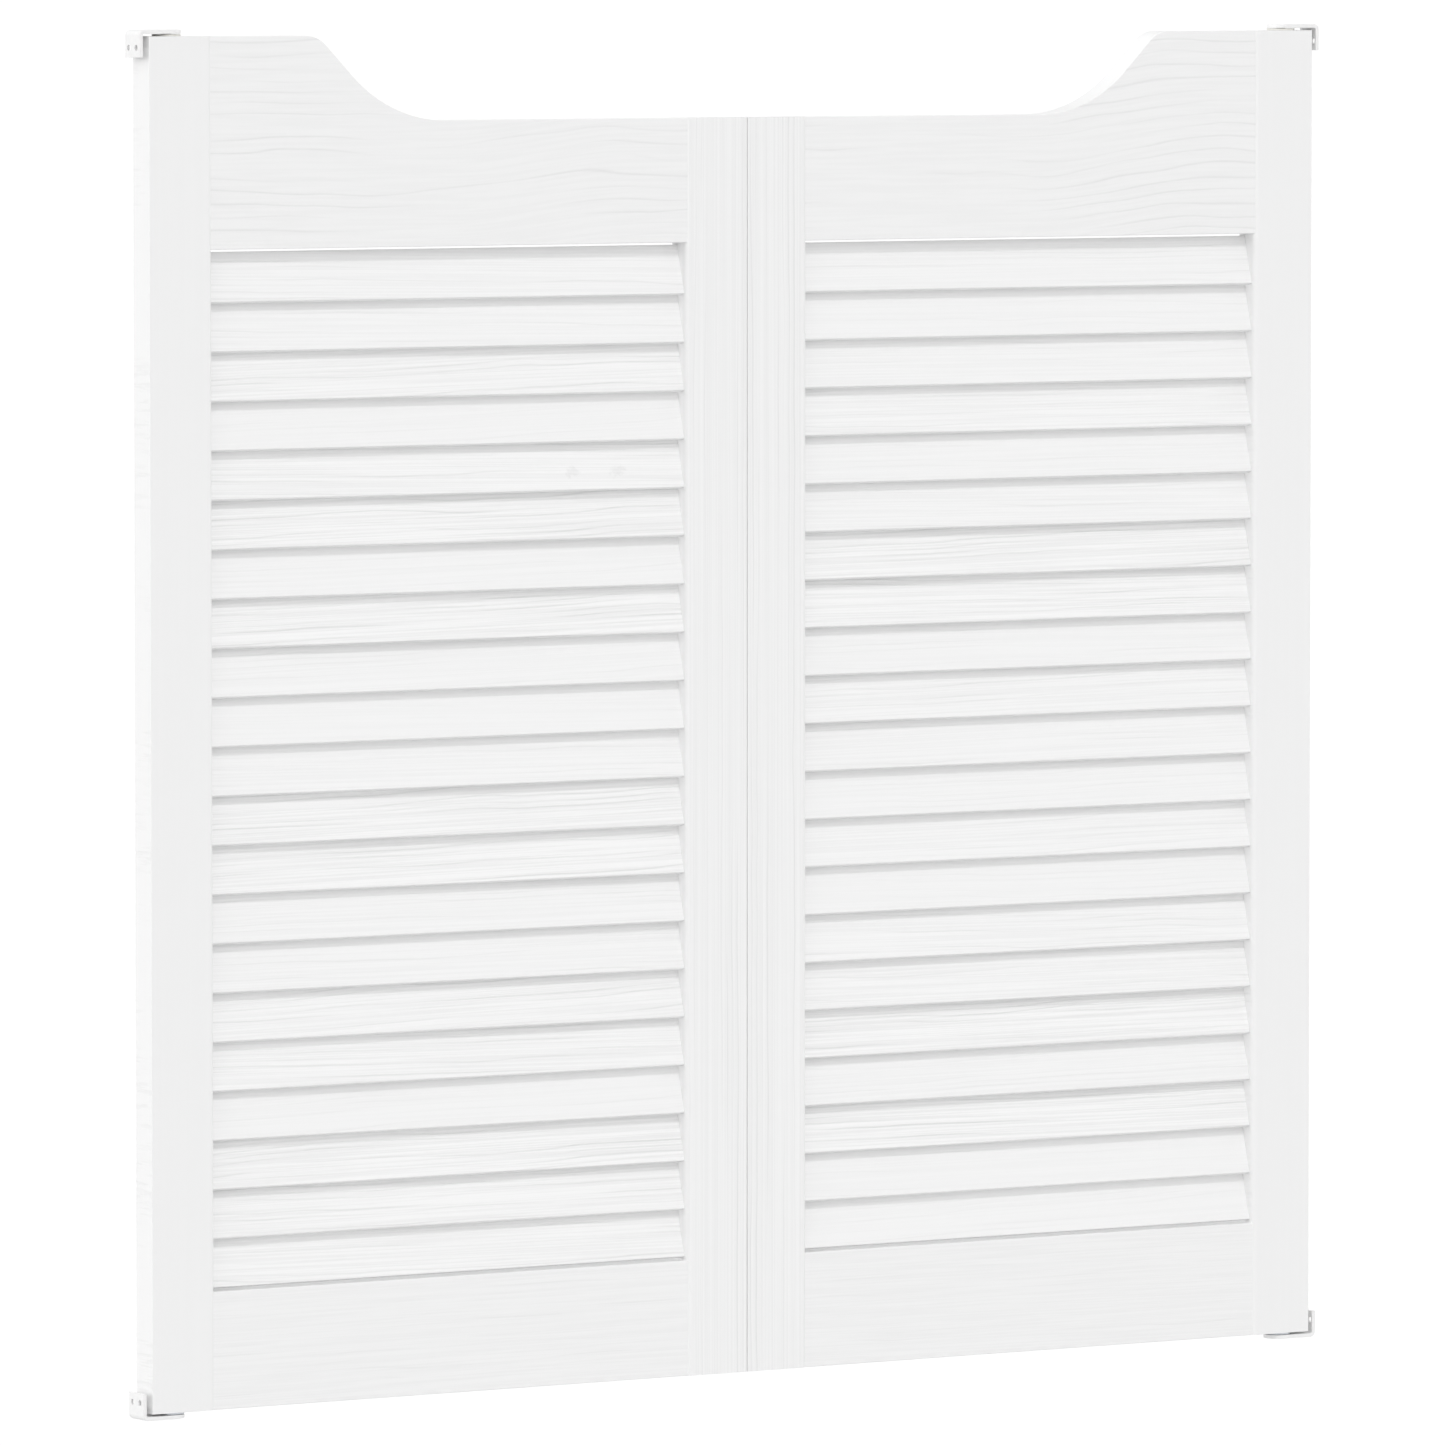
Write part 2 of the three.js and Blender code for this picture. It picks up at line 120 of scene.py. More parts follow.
# %% [markdown]
# ## Shader maths
# A finish is a graph of nodes. Placing dozens of nodes by hand hides the idea behind them, so two
# small classes let the maths be written as ordinary expressions. A Wire is one output of a node,
# and adding or multiplying wires adds Math nodes. A Bench is the node tree that they belong to,
# with one method that makes any other node.

# %% Wire and Bench
class Wire:
    """One output of a node, with arithmetic that adds Math nodes."""

    def __init__(self, bench, socket):
        self.bench = bench
        self.socket = socket

    def twin(self, name):
        """Another output of the same node."""
        return Wire(self.bench, self.socket.node.outputs[name])

    def __add__(self, other):
        return self.bench.math("ADD", self, other)

    def __sub__(self, other):
        return self.bench.math("SUBTRACT", self, other)

    def __rsub__(self, other):
        return self.bench.math("SUBTRACT", other, self)

    def __mul__(self, other):
        return self.bench.math("MULTIPLY", self, other)

    def __truediv__(self, other):
        return self.bench.math("DIVIDE", self, other)

    def __pow__(self, other):
        return self.bench.math("POWER", self, other)

    __radd__ = __add__
    __rmul__ = __mul__


class Bench:
    """A node tree that is filled from empty."""

    def __init__(self, tree):
        self.tree = tree
        tree.nodes.clear()

    def node(self, kind, settings=None, sockets=None, output=0):
        made = self.tree.nodes.new(kind)
        for name, value in (settings or {}).items():
            setattr(made, name, value)
        for name, value in (sockets or {}).items():
            if isinstance(value, Wire):
                self.tree.links.new(value.socket, made.inputs[name])
            else:
                made.inputs[name].default_value = value
        return Wire(self, made.outputs[output]) if len(made.outputs) else made

    def math(self, operation, *values):
        return self.node("ShaderNodeMath", {"operation": operation}, dict(enumerate(values)))


print("shader classes ready:", Wire.__name__, Bench.__name__)

# %% [markdown]
# ## Floor and light
# The doors hang in a white studio, so the background is white and no wall is seen. The world
# lights everything softly from all round. Rays that the camera or a shiny surface sends out see
# it at full white, and the rest see it dimmer, so that the paint keeps its shading. The floor
# lies as far below the leaves as in a real doorway. It gets the missing light as a faint glow
# that only the camera sees, and the shadow of the doors stays on it.

# %% World and floor
WORLD_LEVEL = 0.40
FLOOR_LEVEL = -0.45
FLOOR_SIZE = 400
FLOOR_COLOUR = (0.8, 0.8, 0.8, 1)
FLOOR_GLOW = 0.36
WHITE = (1, 1, 1, 1)


def seen_directly(bench):
    """1 for rays from the camera, from a reflection and through glass, else 0."""
    camera_ray = bench.node("ShaderNodeLightPath", output="Is Camera Ray")
    mirrored = camera_ray.twin("Is Glossy Ray")
    through = camera_ray.twin("Is Transmission Ray")
    return bench.math("MAXIMUM", bench.math("MAXIMUM", camera_ray, mirrored), through)


world = bpy.data.worlds.new("studio")
world.use_nodes = True
bpy.context.scene.world = world
bench = Bench(world.node_tree)
level = WORLD_LEVEL + (1 - WORLD_LEVEL) * seen_directly(bench)
backdrop = bench.node("ShaderNodeBackground", {}, {"Color": WHITE, "Strength": level})
bench.node("ShaderNodeOutputWorld", {}, {"Surface": backdrop})

bpy.ops.object.select_all(action="DESELECT")
bpy.ops.mesh.primitive_plane_add(size=FLOOR_SIZE, location=(0, 0, FLOOR_LEVEL))
floor = bpy.context.object
floor.name = "floor"
paving = bpy.data.materials.new("pale_floor")
paving.use_nodes = True
bench = Bench(paving.node_tree)
matt = bench.node("ShaderNodeBsdfPrincipled", {}, {
    "Base Color": FLOOR_COLOUR,
    "Roughness": 0.9,
    "Specular IOR Level": 0.0,
    "Emission Color": seen_directly(bench),
    "Emission Strength": FLOOR_GLOW,
})
bench.node("ShaderNodeOutputMaterial", {}, {"Surface": matt})
floor.data.materials.append(paving)
floor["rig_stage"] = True
print("floor at", FLOOR_LEVEL, "m, world level", WORLD_LEVEL)

# %% [markdown]
# The key lamp stands high in front. It is small, so the lower edge of each slat throws a short
# crisp shadow on the slat below. A broad lamp in front fills those shadows. Lamps at the right
# and at the left light the rounded edges that turn away from the front: the left one is the
# larger, and with a weak lamp behind it makes the left edge the brightest face. Sun lamps are
# used because their light is the same all over the floor, and their angle sets how soft the
# shadows are. A sun of strength pi makes a white card that faces it exactly white.

# %% Lamps
LAMPS = {
    "key": {"towards": (0, -0.70, 0.71), "share": 0.18, "softness": 3},
    "front": {"towards": (0, -0.98, 0.20), "share": 0.165, "softness": 60},
    "right": {"towards": (0.95, -0.30, 0.10), "share": 0.224, "softness": 60},
    "left": {"towards": (-0.97, -0.10, 0.20), "share": 0.61, "softness": 120},
    "edge": {"towards": (-0.87, 0.44, 0.22), "share": 0.138, "softness": 25},
}

for name, lamp in LAMPS.items():
    beam = -Vector(lamp["towards"])
    bpy.ops.object.light_add(type="SUN", rotation=beam.to_track_quat("-Z", "Y").to_euler())
    light = bpy.context.object
    light.name = name + "_lamp"
    light.data.energy = lamp["share"] * math.pi
    light.data.angle = math.radians(lamp["softness"])
    print(light.name, "share", lamp["share"])

# %% [markdown]
# ## Picking by place
# Working by hand, one clicks the edges to round or the face to pull out. A script has no mouse,
# so these helpers select what passes a test on its place or its direction. Loading the CAD model
# leaves all its nodes selected, so every step first selects one piece alone.

# %% Picking helpers
NEAR = 1e-5
STRAIGHT = 0.999


def near(a, b):
    return abs(a - b) < NEAR


def alone(piece):
    bpy.ops.object.select_all(action="DESELECT")
    piece.select_set(True)
    bpy.context.view_layer.objects.active = piece
    return piece


def middle(edge):
    return (edge.verts[0].co + edge.verts[1].co) / 2


def runs_along(edge, axis):
    start, end = (corner.co for corner in edge.verts)
    return abs((end - start).normalized()[axis]) > STRAIGHT


def pick(piece, kind, wanted):
    """In edit mode, select only the edges or faces that pass the test."""
    bpy.ops.mesh.select_mode(type=kind)
    bpy.ops.mesh.select_all(action="DESELECT")
    shape = bmesh.from_edit_mesh(piece.data)
    chosen = [part for part in (shape.edges if kind == "EDGE" else shape.faces) if wanted(part)]
    for part in chosen:
        part.select_set(True)
    bmesh.update_edit_mesh(piece.data)
    return len(chosen)


def round_over(piece, radius, segments, wanted):
    """Round the edges that pass the test."""
    count = pick(piece, "EDGE", wanted)
    bpy.ops.mesh.bevel(offset=radius, segments=segments, affect="EDGES")
    return count


print("places closer than", NEAR, "m count as the same")

# %% [markdown]
# ## Blocks and cutters
# Most of the joinery starts as a planed block: a cube primitive at the size and place of the
# piece. Housings and mortises are cut with a Boolean modifier. All the cutters of a piece are
# joined into one first, so that it is cut once.

# %% Blocks and cutters
SHARP_ANGLE = math.radians(40)


def block(name, low, high, lean=0):
    """A cube of a box's size and place, turned about its own X axis by lean."""
    low, high = Vector(low), Vector(high)
    bpy.ops.object.select_all(action="DESELECT")
    bpy.ops.mesh.primitive_cube_add(
        size=1, location=(low + high) / 2, rotation=(lean, 0, 0), scale=high - low
    )
    piece = bpy.context.object
    piece.name = name
    bpy.ops.object.transform_apply(location=True, rotation=True, scale=True)
    return piece


def cut(piece, cutters, operation="DIFFERENCE"):
    """Take the joined cutters out of the piece, or join them to it."""
    bpy.ops.object.select_all(action="DESELECT")
    for cutter in cutters:
        cutter.select_set(True)
    bpy.context.view_layer.objects.active = cutters[0]
    if len(cutters) > 1:
        bpy.ops.object.join()
    tool = bpy.context.object
    alone(piece)
    bpy.ops.object.modifier_add(type="BOOLEAN")
    saw = piece.modifiers[-1]
    saw.operation = operation
    saw.solver = "EXACT"
    saw.object = tool
    bpy.ops.object.modifier_apply(modifier=saw.name)
    alone(tool)
    bpy.ops.object.delete()
    return alone(piece)


def smooth(piece):
    """Smooth shading over the rounded edges, with the flat faces kept flat."""
    alone(piece)
    bpy.ops.object.shade_smooth_by_angle(angle=SHARP_ANGLE)
    bpy.ops.object.modifier_add(type="WEIGHTED_NORMAL")
    evened = piece.modifiers[-1]
    evened.keep_sharp = True
    bpy.ops.object.modifier_apply(modifier=evened.name)
    return piece


SIDES = {"left": -1, "right": 1}
made = {}
print("sides:", SIDES)

# %% [markdown]
# ## Slats
# A louvre slat is a thin strip with rounded long edges. It leans so that its lower edge comes to
# the front and sheds the light. The lean follows from the pitch, the strip's thickness and the
# air between two strips. One slat is modelled upright at the origin, rounded and leaned, and
# copied to the place of each CAD slat. With no window the rotate operator turns the other way
# round, so a positive angle brings the lower edge to the front here.

# %% One slat
SLAT_COUNT = 21
SLAT_THICKNESS = 0.005
SLAT_AIR_GAP = 0.0029
SLAT_LAP = 0.0003
SLAT_ROUND = 0.0006
SLAT_ROUND_STEPS = 4


def box_middle(node):
    low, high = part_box(node)
    return (low + high) / 2


slat_pitch = box_middle("right_slat_01").z - box_middle("right_slat_02").z
slat_lean = math.asin((SLAT_THICKNESS + SLAT_AIR_GAP) / slat_pitch)
slat_width = (slat_pitch + SLAT_LAP) / math.cos(slat_lean)
slat_low, slat_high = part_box("right_slat_01")
slat_length = slat_high.x - slat_low.x

half_slat = Vector((slat_length, SLAT_THICKNESS, slat_width)) / 2
pattern_slat = block("pattern_slat", -half_slat, half_slat)
bpy.ops.object.mode_set(mode="EDIT")
rounded = round_over(pattern_slat, SLAT_ROUND, SLAT_ROUND_STEPS, lambda e: runs_along(e, 0))
bpy.ops.mesh.select_all(action="SELECT")
bpy.ops.transform.rotate(value=slat_lean, orient_axis="X", center_override=(0, 0, 0))
bpy.ops.object.mode_set(mode="OBJECT")
smooth(pattern_slat)
print("slat", round(slat_width * 1000, 2), "mm wide, leans", round(math.degrees(slat_lean), 2))
print("edges rounded:", rounded, "box", [round(v * 1000, 2) for v in pattern_slat.dimensions])

# %% Copies of the slat
for side in SIDES:
    for number in range(1, SLAT_COUNT + 1):
        node = f"{side}_slat_{number:02d}"
        alone(pattern_slat)
        bpy.ops.object.duplicate(linked=False)
        slat = bpy.context.object
        slat.name = node + "_wood"
        bpy.ops.transform.translate(value=box_middle(node))
        bpy.ops.object.transform_apply(location=True, rotation=True, scale=True)
        made[node] = slat

alone(pattern_slat)
bpy.ops.object.delete()
print("slats copied:", len(made))

# %% [markdown]
# ## Stiles
# A stile is a planed upright. The long edges beside the louvres are rounded much more than the
# outer ones, which shows as a bright strip where the light from the left catches them. The slats
# sit in slanted housings, the rails in mortises, and the hanging stile is bored at both ends for
# its pivot. The block is rounded first, while its edges are still whole, and cut afterwards.

# %% Stiles
LOUVRE_SIDE_ROUND = 0.0035
OUTER_SIDE_ROUND = 0.0003
END_ROUND = 0.0002
SIDE_STEPS = 6
END_STEPS = 2
CIRCLE_STEPS = 48
SNUG = 0.00005
HOUSING_DEPTH = 0.008
TENON_THICKNESS = 0.007
TENON_LENGTH = 0.0165
TENON_SHOULDER = 0.014
SLEEVE_RADIUS = {"top_bush": 0.005, "spring_barrel": 0.0065}


def planed_stile(name, low, high, louvre_x):
    outer_x = low.x if near(louvre_x, high.x) else high.x
    piece = block(name, low, high)
    bpy.ops.object.mode_set(mode="EDIT")
    for side_x, radius in ((louvre_x, LOUVRE_SIDE_ROUND), (outer_x, OUTER_SIDE_ROUND)):
        round_over(piece, radius, SIDE_STEPS,
                   lambda e: runs_along(e, 2) and near(middle(e).x, side_x))
    for end_z in (low.z, high.z):
        round_over(piece, END_ROUND, END_STEPS,
                   lambda e: all(near(v.co.z, end_z) for v in e.verts))
    bpy.ops.object.mode_set(mode="OBJECT")
    return piece


def slot(centre_x, reach, y_half, z_low, z_high):
    """A cutter for a straight mortise."""
    low = (centre_x - reach, -y_half, z_low)
    return block("mortise", low, (centre_x + reach, y_half, z_high))


def housing(centre_x, node):
    """A cutter for the end of one slat."""
    half = Vector((HOUSING_DEPTH, SLAT_THICKNESS / 2, slat_width / 2)) + Vector((SNUG,) * 3)
    centre = box_middle(node)
    centre.x = centre_x
    return block("housing", centre - half, centre + half, -slat_lean)


def bore(x, node):
    """A cutter for the sleeve of a pivot fitting, from its closed end through its flange."""
    low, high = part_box(node)
    bpy.ops.object.select_all(action="DESELECT")
    bpy.ops.mesh.primitive_cylinder_add(
        vertices=CIRCLE_STEPS,
        radius=SLEEVE_RADIUS[node.split("_", 1)[1]] + SNUG,
        depth=high.z - low.z + 2 * SNUG,
        location=(x, 0, (low.z + high.z) / 2),
    )
    return bpy.context.object


for side, outwards in SIDES.items():
    opening_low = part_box(f"{side}_bottom_rail")[1].z
    opening_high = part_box(f"{side}_top_rail")[0].z
    for kind in ("outer_stile", "meeting_stile"):
        node = f"{side}_{kind}"
        low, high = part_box(node)
        inner_side = outwards if kind == "meeting_stile" else -outwards
        louvre_x = high.x if inner_side > 0 else low.x
        stile = planed_stile(node + "_wood", low, high, louvre_x)
        slats = [f"{side}_slat_{n:02d}" for n in range(1, SLAT_COUNT + 1)]
        cutters = [housing(louvre_x, slat) for slat in slats]
        reach = TENON_LENGTH + SNUG
        y_half = TENON_THICKNESS / 2 + SNUG
        for bottom, top in ((low.z, opening_low), (opening_high, high.z)):
            ends = (bottom + TENON_SHOULDER - SNUG, top - TENON_SHOULDER + SNUG)
            cutters.append(slot(louvre_x, reach, y_half, *ends))
        if kind == "outer_stile":
            for fitting in SLEEVE_RADIUS:
                cutters.append(bore(box_middle(f"{side}_{fitting}").x, f"{side}_{fitting}"))
        made[node] = smooth(cut(stile, cutters))
        print(node, "cuts:", len(cutters), "faces:", len(stile.data.polygons))

# %% [markdown]
# ## Drawing an outline
# The top rail is a board with a curved edge, and a bracket is a bent strip. Both are drawn as an
# outline first: a plane is merged to a single point, the point is extruded along straight lines
# and spun round the centres of the curves, and the closed loop is filled and extruded to its
# thickness.

# %% Outline helpers
START_SIZE = 0.001


def start_outline(name, point):
    bpy.ops.object.select_all(action="DESELECT")
    bpy.ops.mesh.primitive_plane_add(size=START_SIZE, location=point)
    piece = bpy.context.object
    piece.name = name
    bpy.ops.object.transform_apply(location=True, rotation=True, scale=True)
    bpy.ops.object.mode_set(mode="EDIT")
    bpy.ops.mesh.select_mode(type="VERT")
    bpy.ops.mesh.select_all(action="SELECT")
    bpy.ops.mesh.merge(type="CENTER")
    return piece


def pen(piece):
    """Where the selected point is."""
    shape = bmesh.from_edit_mesh(piece.data)
    return next(corner.co.copy() for corner in shape.verts if corner.select)


def line_to(piece, x, z):
    here = pen(piece)
    step = (x - here.x, 0, z - here.z)
    bpy.ops.mesh.extrude_vertices_move(TRANSFORM_OT_translate={"value": step})


def arc(piece, centre_x, centre_z, turn, steps):
    """Spin the point by turn, counterclockwise as seen from the front."""
    centre = (centre_x, pen(piece).y, centre_z)
    bpy.ops.mesh.spin(steps=steps, angle=turn, center=centre, axis=(0, 1, 0))


def fill_outline(piece, thickness):
    """Close the loop, fill it and pull it back to its thickness."""
    bpy.ops.mesh.select_all(action="SELECT")
    bpy.ops.mesh.remove_doubles(threshold=NEAR)
    bpy.ops.mesh.edge_face_add()
    bpy.ops.mesh.select_mode(type="FACE")
    bpy.ops.mesh.select_all(action="SELECT")
    bpy.ops.mesh.extrude_region_move(TRANSFORM_OT_translate={"value": (0, thickness, 0)})
    bpy.ops.mesh.select_all(action="SELECT")
    bpy.ops.mesh.normals_make_consistent(inside=False)


print("outline helpers ready")

# %% [markdown]
# ## Rails
# Each rail fits between the stiles and ends in two tenons. The bottom rail is a plain board. The
# upper edge of the top rail runs level from the outer stile, turns down on a small crest, and
# eases out on a wide hollow to the height of the meeting stile. The rails are a little thinner
# than the stiles, so that their faces lie 1 mm behind. A square end would leave a groove beside
# the rounded stile, so a joiner scribes the shoulder to it: the board is left long, and bars with
# the stiles' rounding are cut out of its ends. Paint fills the joint, so next to no gap is left
# there. A tenon is then made from the flat end face: inset it, resize the inner face to the
# tenon's section and extrude that.

# %% Rails
RAIL_SETBACK = 0.001
RAIL_ROUND = 0.0006
RAIL_ROUND_STEPS = 4
SCOOP_START = 0.113
SCOOP_SLOPE = math.radians(45)
CREST_RADIUS = 0.020
HOLLOW_RADIUS = 0.095
CREST_STEPS = 12
HOLLOW_STEPS = 24
INSET = 0.002
FACES_ALONG = 0.9
SCRIBE_LENGTH = 0.003
SCRIBE_WIDTH = 0.020
PAINTED_SHUT = 0.000005


def scribe(rail, inner_x, outer_x, outwards, stile_low, stile_high):
    """Cut the ends of a long board to the rounded sides of the two stiles."""
    cutters = []
    for end_x, side in ((inner_x, -outwards), (outer_x, outwards)):
        across = sorted((end_x, end_x + side * SCRIBE_WIDTH))
        spare = Vector((0, PAINTED_SHUT, SCRIBE_WIDTH))
        low = Vector((across[0], stile_low.y, stile_low.z)) - spare
        high = Vector((across[1], stile_high.y, stile_high.z)) + spare
        cutters.append(planed_stile("scribe", low, high, end_x))
    return cut(rail, cutters)


def tenon(piece, end_x, outwards):
    """Pull a tenon out of the end face at end_x."""
    def is_end(face):
        return near(face.calc_center_median().x, end_x) and face.normal.x * outwards > FACES_ALONG

    pick(piece, "FACE", is_end)
    shape = bmesh.from_edit_mesh(piece.data)
    corners = [v.co.copy() for face in shape.faces if face.select for v in face.verts]
    centre = sum(corners, Vector()) / len(corners)
    depth = max(c.y for c in corners) - min(c.y for c in corners)
    height = max(c.z for c in corners) - min(c.z for c in corners)
    bpy.ops.mesh.inset(thickness=INSET)
    narrower = TENON_THICKNESS / (depth - 2 * INSET)
    lower = (height - 2 * TENON_SHOULDER) / (height - 2 * INSET)
    bpy.ops.transform.resize(value=(1, narrower, lower), center_override=centre)
    pull = (outwards * TENON_LENGTH, 0, 0)
    bpy.ops.mesh.extrude_region_move(TRANSFORM_OT_translate={"value": pull})


def finish_rail(rail, front_y, back_y, inner_x, outer_x, outwards, stile_low, stile_high):
    """From edit mode: round the long arrises, scribe the ends and add the tenons."""
    def on_a_face(edge):
        return any(all(near(v.co.y, y) for v in edge.verts) for y in (front_y, back_y))

    round_over(rail, RAIL_ROUND, RAIL_ROUND_STEPS,
               lambda e: on_a_face(e) and not runs_along(e, 2))
    bpy.ops.object.mode_set(mode="OBJECT")
    scribe(rail, inner_x, outer_x, outwards, stile_low, stile_high)
    bpy.ops.object.mode_set(mode="EDIT")
    tenon(rail, inner_x, -outwards)
    tenon(rail, outer_x, outwards)
    bpy.ops.object.mode_set(mode="OBJECT")
    return smooth(rail)


for side, outwards in SIDES.items():
    meeting_low, meeting_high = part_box(f"{side}_meeting_stile")
    outer_low, outer_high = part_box(f"{side}_outer_stile")
    if outwards > 0:
        inner_x, outer_x, edge_x = meeting_high.x, outer_low.x, outer_high.x
    else:
        inner_x, outer_x, edge_x = meeting_low.x, outer_high.x, outer_low.x
    inner_x += outwards * PAINTED_SHUT
    outer_x -= outwards * PAINTED_SHUT
    inner_end = inner_x - outwards * SCRIBE_LENGTH
    outer_end = outer_x + outwards * SCRIBE_LENGTH
    front_y = outer_low.y + RAIL_SETBACK
    back_y = outer_high.y - RAIL_SETBACK
    places = (front_y, back_y, inner_x, outer_x, outwards, outer_low, outer_high)
    foot = outer_low.z
    head = outer_high.z
    low_head = meeting_high.z

    node = f"{side}_bottom_rail"
    rail_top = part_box(node)[1].z
    rail = block(node + "_wood", (min(inner_end, outer_end), front_y, foot),
                 (max(inner_end, outer_end), back_y, rail_top))
    bpy.ops.object.mode_set(mode="EDIT")
    made[node] = finish_rail(rail, *places)

    node = f"{side}_top_rail"
    rail_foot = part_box(node)[0].z
    radii = CREST_RADIUS + HOLLOW_RADIUS
    run = (head - low_head - radii * (1 - math.cos(SCOOP_SLOPE))) / math.sin(SCOOP_SLOPE)
    crest_x = edge_x - outwards * SCOOP_START
    hollow_x = crest_x - outwards * (radii * math.sin(SCOOP_SLOPE) + run * math.cos(SCOOP_SLOPE))
    turn = outwards * SCOOP_SLOPE
    rail = start_outline(node + "_wood", (inner_end, front_y, rail_foot))
    line_to(rail, outer_end, rail_foot)
    line_to(rail, outer_end, head)
    line_to(rail, crest_x, head)
    arc(rail, crest_x, head - CREST_RADIUS, turn, CREST_STEPS)
    line_to(rail, hollow_x + outwards * HOLLOW_RADIUS * math.sin(SCOOP_SLOPE),
            low_head + HOLLOW_RADIUS * (1 - math.cos(SCOOP_SLOPE)))
    arc(rail, hollow_x, low_head + HOLLOW_RADIUS, -turn, HOLLOW_STEPS)
    print(node, "hollow ends at", [round(v, 4) for v in pen(rail)], "wanted", round(low_head, 4))
    line_to(rail, inner_end, low_head)
    line_to(rail, inner_end, rail_foot)
    fill_outline(rail, back_y - front_y)
    made[node] = finish_rail(rail, *places)
    print(node, "faces:", len(rail.data.polygons))

# %% [markdown]
# ## Pivot fittings
# The leaves swing on pivots in their outer stiles. A bent steel bracket on the jamb carries a pin
# at the top and a spindle at the bottom. The pin turns in a flanged nylon bush, and the spindle
# in a steel barrel with the return spring inside. The round fittings are turned on a lathe in
# real life, and the spin operator does the same with half of their section.

# %% Turned fittings
TURNED_ROUND = 0.00025
EASE_STEPS = 2
FLANGE_RADIUS = 0.009
FLANGE_THICKNESS = 0.0012
PIN_RADIUS = 0.003
RUN_GAP = 0.0003
END_WALL = 0.002
SOCKET_DEPTH = 0.008
BARREL_WALL = 0.001


def ease_edges(piece, radius):
    """Round every sharp edge a little."""
    alone(piece)
    bpy.ops.object.modifier_add(type="BEVEL")
    eased = piece.modifiers[-1]
    eased.width = radius
    eased.segments = EASE_STEPS
    eased.limit_method = "ANGLE"
    eased.angle_limit = SHARP_ANGLE
    bpy.ops.object.modifier_apply(modifier=eased.name)
    return smooth(piece)


def turned(name, axis_x, foot, up, section):
    """Spin a section of (radius, height) corners round a vertical axis. Heights count from foot."""
    points = [(axis_x + radius, foot + up * height) for radius, height in section]
    piece = start_outline(name, (points[0][0], 0, points[0][1]))
    for x, z in points[1:]:
        line_to(piece, x, z)
    bpy.ops.mesh.select_all(action="SELECT")
    bpy.ops.mesh.spin(
        steps=CIRCLE_STEPS, angle=2 * math.pi, center=(axis_x, 0, 0), axis=(0, 0, 1)
    )
    bpy.ops.mesh.select_all(action="SELECT")
    bpy.ops.mesh.remove_doubles(threshold=NEAR)
    bpy.ops.mesh.normals_make_consistent(inside=False)
    bpy.ops.object.mode_set(mode="OBJECT")
    return piece


for side in SIDES:
    node = f"{side}_top_bush"
    low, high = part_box(node)
    length = high.z - low.z - FLANGE_THICKNESS
    sleeve = SLEEVE_RADIUS["top_bush"]
    pin_hole = PIN_RADIUS + RUN_GAP
    bush = turned(node + "_turned", box_middle(node).x, high.z - FLANGE_THICKNESS, -1, [
        (0, length - END_WALL), (pin_hole, length - END_WALL), (pin_hole, -FLANGE_THICKNESS),
        (FLANGE_RADIUS, -FLANGE_THICKNESS), (FLANGE_RADIUS, 0), (sleeve, 0), (sleeve, length),
        (0, length),
    ])
    made[node] = ease_edges(bush, TURNED_ROUND)

    node = f"{side}_spring_barrel"
    low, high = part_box(node)
    length = high.z - low.z - FLANGE_THICKNESS
    sleeve = SLEEVE_RADIUS["spring_barrel"]
    inside = sleeve - BARREL_WALL
    room = length - END_WALL - SOCKET_DEPTH
    barrel = turned(node + "_turned", box_middle(node).x, low.z + FLANGE_THICKNESS, 1, [
        (0, length - END_WALL), (pin_hole, length - END_WALL), (pin_hole, room), (inside, room),
        (inside, -FLANGE_THICKNESS), (FLANGE_RADIUS, -FLANGE_THICKNESS), (FLANGE_RADIUS, 0),
        (sleeve, 0), (sleeve, length), (0, length),
    ])
    made[node] = ease_edges(barrel, TURNED_ROUND)
    print(node, "faces:", len(barrel.data.polygons))

# %% [markdown]
# A jamb bracket is an L of flat bar. Its side view is drawn as an outline with the bend spun
# round its centre, then extruded to the width of the bar. Bevelling the two corner edges of the
# arm by half the width gives the round end over the pivot. The screw holes are countersunk
# cutters, and the pin or spindle is a turned piece that is joined to the arm as if it were
# riveted in.

# %% Jamb brackets
BRACKET_THICKNESS = 0.0025
BRACKET_LEG = 0.017
BEND_RADIUS = 0.001
SCREW_HOLE_RADIUS = 0.0018
SCREW_HEAD_RADIUS = 0.0032
SCREW_EDGE = 0.006
SCREW_SPACING = 0.009
SCREW_STEPS = 32
BRACKET_ROUND = 0.0003
COLLAR_HEIGHT = 0.006
OVERRUN = 0.001
BEND_STEPS = 6
ROUND_END_STEPS = 12


def countersink(leaf_x, y, height):
    """A cutter for one screw: a cone that opens towards the leaf and a straight hole."""
    sink = SCREW_HEAD_RADIUS - SCREW_HOLE_RADIUS
    quarter_turn = (0, math.pi / 2, 0)
    bpy.ops.object.select_all(action="DESELECT")
    bpy.ops.mesh.primitive_cylinder_add(
        vertices=SCREW_STEPS,
        radius=SCREW_HOLE_RADIUS,
        depth=2 * BRACKET_THICKNESS,
        location=(leaf_x + BRACKET_THICKNESS, y, height),
        rotation=quarter_turn,
    )
    hole = bpy.context.object
    bpy.ops.object.select_all(action="DESELECT")
    bpy.ops.mesh.primitive_cone_add(
        vertices=SCREW_STEPS,
        radius1=SCREW_HEAD_RADIUS + OVERRUN,
        radius2=SCREW_HOLE_RADIUS,
        depth=sink + OVERRUN,
        location=(leaf_x + (sink - OVERRUN) / 2, y, height),
        rotation=quarter_turn,
    )
    return cut(bpy.context.object, [hole], "UNION")


